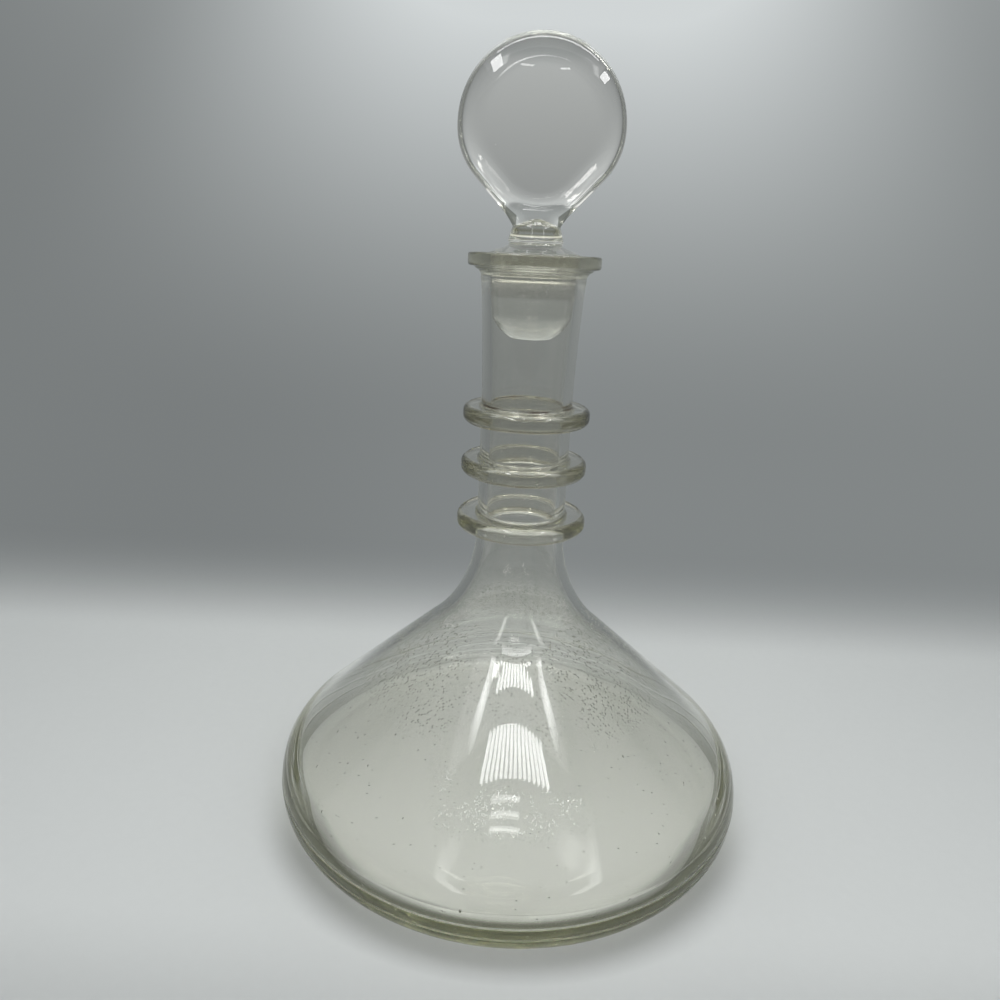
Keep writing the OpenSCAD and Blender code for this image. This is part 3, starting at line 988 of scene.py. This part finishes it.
class DECANTER_OT_flask(bpy.types.Operator):
    """Turn the flask with its real wall, ground socket and push-up."""

    bl_idname = "decanter.flask"
    bl_label = "Flask"

    def execute(self, context):
        sizes = context.scene.decanter_flask
        belt_inside = sizes.belt_radius - sizes.belt_wall

        def waver(radius, height, angle):
            """Slow unevenness of the blown wall, on the inside of the bell alone."""
            line = radius * cos(sizes.shoulder_lean) + height * sin(sizes.shoulder_lean)
            inside = line < shoulder_line(sizes) - sizes.bell_wall / 2
            if not inside or height < sizes.floor_thickness + 4 * MM:
                return 0
            share = min(1, max(0, radius - sizes.neck_radius) / belt_inside)
            wave = sin(3 * angle + 0.6) + 0.6 * sin(7 * angle + height * 60)
            return WALL_WAVER * share * (wave + 0.4 * sin(13 * angle))

        mesh = lathe("flask_body", flask_outline(sizes), waver=waver)
        smooth(mesh)
        mesh.materials.append(flask_glass(sizes, context.scene.decanter_glass))
        piece = add_piece(mesh, "decanter")
        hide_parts("flask")
        return {"FINISHED"}


class DECANTER_OT_rings(bpy.types.Operator):
    """Lay the three rings of glass round the neck."""

    bl_idname = "decanter.rings"
    bl_label = "Neck rings"

    def execute(self, context):
        sizes = context.scene.decanter_rings
        neck = context.scene.decanter_flask.neck_radius
        boxes = [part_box(node) for node in RING_NODES]
        middles = [(low.z + high.z) / 2 for low, high in boxes]
        material = ring_glass(sizes, context.scene.decanter_glass, neck, middles)
        for turn, node in enumerate(RING_NODES):
            mesh = ring_mesh(node.replace("neck_", ""), sizes, neck, boxes[turn][1].x, middles[turn], turn)
            mesh.materials.append(material)
            piece = add_piece(mesh, "decanter")
            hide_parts(node)
        return {"FINISHED"}


class DECANTER_OT_stopper(bpy.types.Operator):
    """Make the stopper: a turned plug and collar joined to a flat disc with a full-round rim."""

    bl_idname = "decanter.stopper"
    bl_label = "Stopper"

    def execute(self, context):
        flask = context.scene.decanter_flask
        sizes = context.scene.decanter_stopper
        turned = lathe("stopper_solid", stopper_outline(flask, sizes), turns=160)
        piece = add_piece(turned, "stopper")
        head = add_object("stopper_head", head_mesh(flask, sizes))
        join = piece.modifiers.new("join", "BOOLEAN")
        join.operation = "UNION"
        join.solver = "EXACT"
        join.object = head
        view = context.evaluated_depsgraph_get()
        joined = bpy.data.meshes.new_from_object(piece.evaluated_get(view))
        piece.modifiers.clear()
        bpy.data.objects.remove(head)
        if len(joined.polygons) < len(turned.polygons):
            raise RuntimeError("the stopper's head and plug didn't join")
        joined.name = "stopper_solid"
        smooth(joined)
        joined.materials.clear()
        joined.materials.append(stopper_glass(flask, sizes, context.scene.decanter_glass))
        piece.data = joined
        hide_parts("stopper")
        return {"FINISHED"}


class DECANTER_OT_stage(bpy.types.Operator):
    """Set the camera, the pale sweep, the lamps and the soft surroundings."""

    bl_idname = "decanter.stage"
    bl_label = "Stage"

    def execute(self, context):
        look = context.scene.decanter_stage
        context.scene.view_settings.view_transform = "Standard"
        context.scene.cycles.max_bounces = 32
        context.scene.cycles.transmission_bounces = 32
        context.scene.cycles.glossy_bounces = 32
        add_camera(context, look)
        add_sweep(look)
        add_surroundings(context)
        for name, place, size, share, aim, beam in LAMPS:
            add_lamp(name, place, size, look.lamp_power * share, aim, radians(beam))
        for name, middle, size, share, count, aim in LIGHT_BARS:
            for i in range(count):
                place = (middle[0] + size[0] * ((i + 0.5) / count - 0.5), middle[1], middle[2])
                cell = (size[0] / count * CELL_FILL, size[1])
                power = look.bar_power * share / count
                add_lamp(f"{name}_{i}", place, cell, power, aim, look.bar_spread)
        return {"FINISHED"}


class DECANTER_PT_panel(bpy.types.Panel):
    """Sidebar panel that lists the decanter's operators."""

    bl_idname = "DECANTER_PT_panel"
    bl_label = "Ships Decanter"
    bl_space_type = "VIEW_3D"
    bl_region_type = "UI"
    bl_category = "Decanter"

    def draw(self, context):
        for operator in OPERATORS:
            self.layout.operator(operator.bl_idname)


OPERATORS = (DECANTER_OT_stage, DECANTER_OT_flask, DECANTER_OT_rings, DECANTER_OT_stopper)
GROUPS = {
    "decanter_flask": FlaskSizes,
    "decanter_rings": RingSizes,
    "decanter_stopper": StopperSizes,
    "decanter_glass": GlassLook,
    "decanter_stage": StageLook,
}


def register():
    for name, group in GROUPS.items():
        bpy.utils.register_class(group)
        setattr(bpy.types.Scene, name, bpy.props.PointerProperty(type=group))
    for made in (*OPERATORS, DECANTER_PT_panel):
        bpy.utils.register_class(made)


def unregister():
    for made in (DECANTER_PT_panel, *reversed(OPERATORS)):
        bpy.utils.unregister_class(made)
    for name, group in reversed(GROUPS.items()):
        delattr(bpy.types.Scene, name)
        bpy.utils.unregister_class(group)


def main():
    register()
    bpy.ops.decanter.stage()
    bpy.ops.decanter.flask()
    bpy.ops.decanter.rings()
    bpy.ops.decanter.stopper()


if __name__ == "__main__":
    main()
